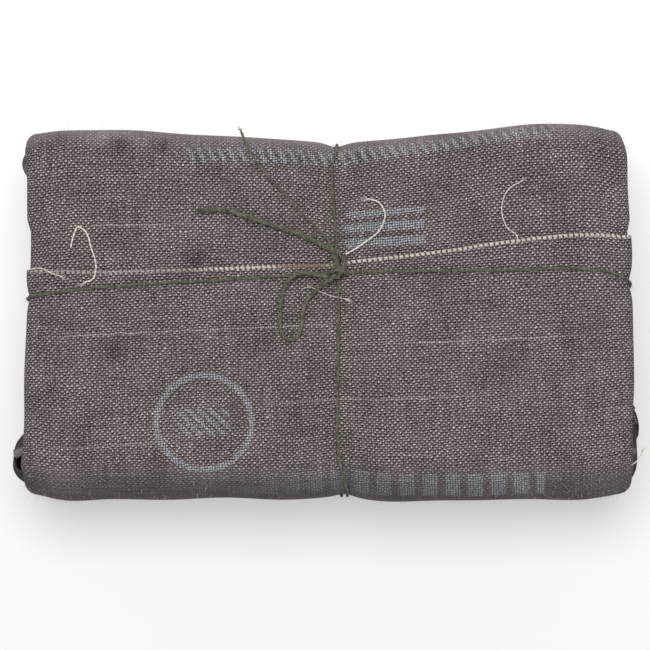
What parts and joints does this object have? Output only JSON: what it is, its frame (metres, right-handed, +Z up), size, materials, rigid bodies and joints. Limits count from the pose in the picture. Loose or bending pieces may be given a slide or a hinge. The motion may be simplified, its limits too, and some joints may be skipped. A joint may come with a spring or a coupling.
{
  "type": "cloth-wrapped compress packet",
  "caption": "Brick-shaped dressing packet folded in plain-weave cloth and tied crosswise with thin twine in a half bow; flaps open to the wrapped contents.",
  "frame": {"origin": "middle of the flat face that the packet rests on", "axes": "+X along the packet, +Y across it towards the under flap's crease, +Z up through the knot face"},
  "size_m": [0.1014, 0.0624, 0.028],
  "materials": {
    "wrapper_cloth": "plain-weave cotton cloth, matt",
    "twine": "thin twisted green-grey twine",
    "paper": "waxed wrapping paper",
    "gauze": "folded cotton gauze",
    "cotton_wool": "loose cotton wool",
    "bandage": "rolled cotton bandage",
    "steel": "drawn steel wire and pressed cap"
  },
  "bodies": {
    "packet": {"wrapper_base": "wrapper_cloth", "inner_paper_wrap": "paper", "fixed_compress": "gauze", "cotton_wool_layer": "cotton_wool", "bandage_web": "bandage", "bandage_roll_left": "bandage", "bandage_roll_right": "bandage", "sliding_compress": "gauze", "safety_pin_wire": "steel", "safety_pin_cap": "steel", "twine_under_long": "twine", "twine_under_short": "twine"},
    "over_flap": {"wrapper_over_flap": "wrapper_cloth"},
    "under_flap": {"wrapper_under_flap": "wrapper_cloth"},
    "tie": {"twine_top_left": "twine", "twine_top_right": "twine", "twine_top_front": "twine", "twine_top_back": "twine", "twine_knot": "twine"},
    "bow": {"bow_loop": "twine"},
    "tail_long": {"long_tail": "twine"},
    "tail_short": {"short_tail": "twine"}
  },
  "joints": [
    {"name": "over_flap_fold", "type": "hinge", "parent": "packet", "child": "over_flap", "pos_m": [0, -0.0245, 0.02605], "axis": [1, 0, 0], "range_deg": [0, 170]},
    {"name": "under_flap_fold", "type": "hinge", "parent": "packet", "child": "under_flap", "pos_m": [0, 0.0245, 0.02545], "axis": [-1, 0, 0], "range_deg": [0, 136]},
    {"name": "tie_lift", "type": "slide", "parent": "packet", "child": "tie", "axis": [0, 0, 1], "range_m": [0, 0.1425]},
    {"name": "bow_loop_lift", "type": "hinge", "parent": "tie", "child": "bow", "pos_m": [0.0001, 0.00545, 0.02735], "axis": [-0.6402, 0.7682, 0], "range_deg": [0, 75]},
    {"name": "long_tail_lift", "type": "hinge", "parent": "tie", "child": "tail_long", "pos_m": [0.00015, 0.0114, 0.0259], "axis": [0.7799, 0.6259, 0], "range_deg": [0, 75]},
    {"name": "short_tail_lift", "type": "hinge", "parent": "tie", "child": "tail_short", "pos_m": [-0.0005, 0.0103, 0.02605], "axis": [0.3099, 0.9508, 0], "range_deg": [0, 75]}
  ],
  "couplings": [
    {"joint": "under_flap_fold", "follows": "over_flap_fold", "ratio": 0.8},
    {"joint": "tie_lift", "follows": "over_flap_fold", "m_per_rad": 0.048}
  ]
}
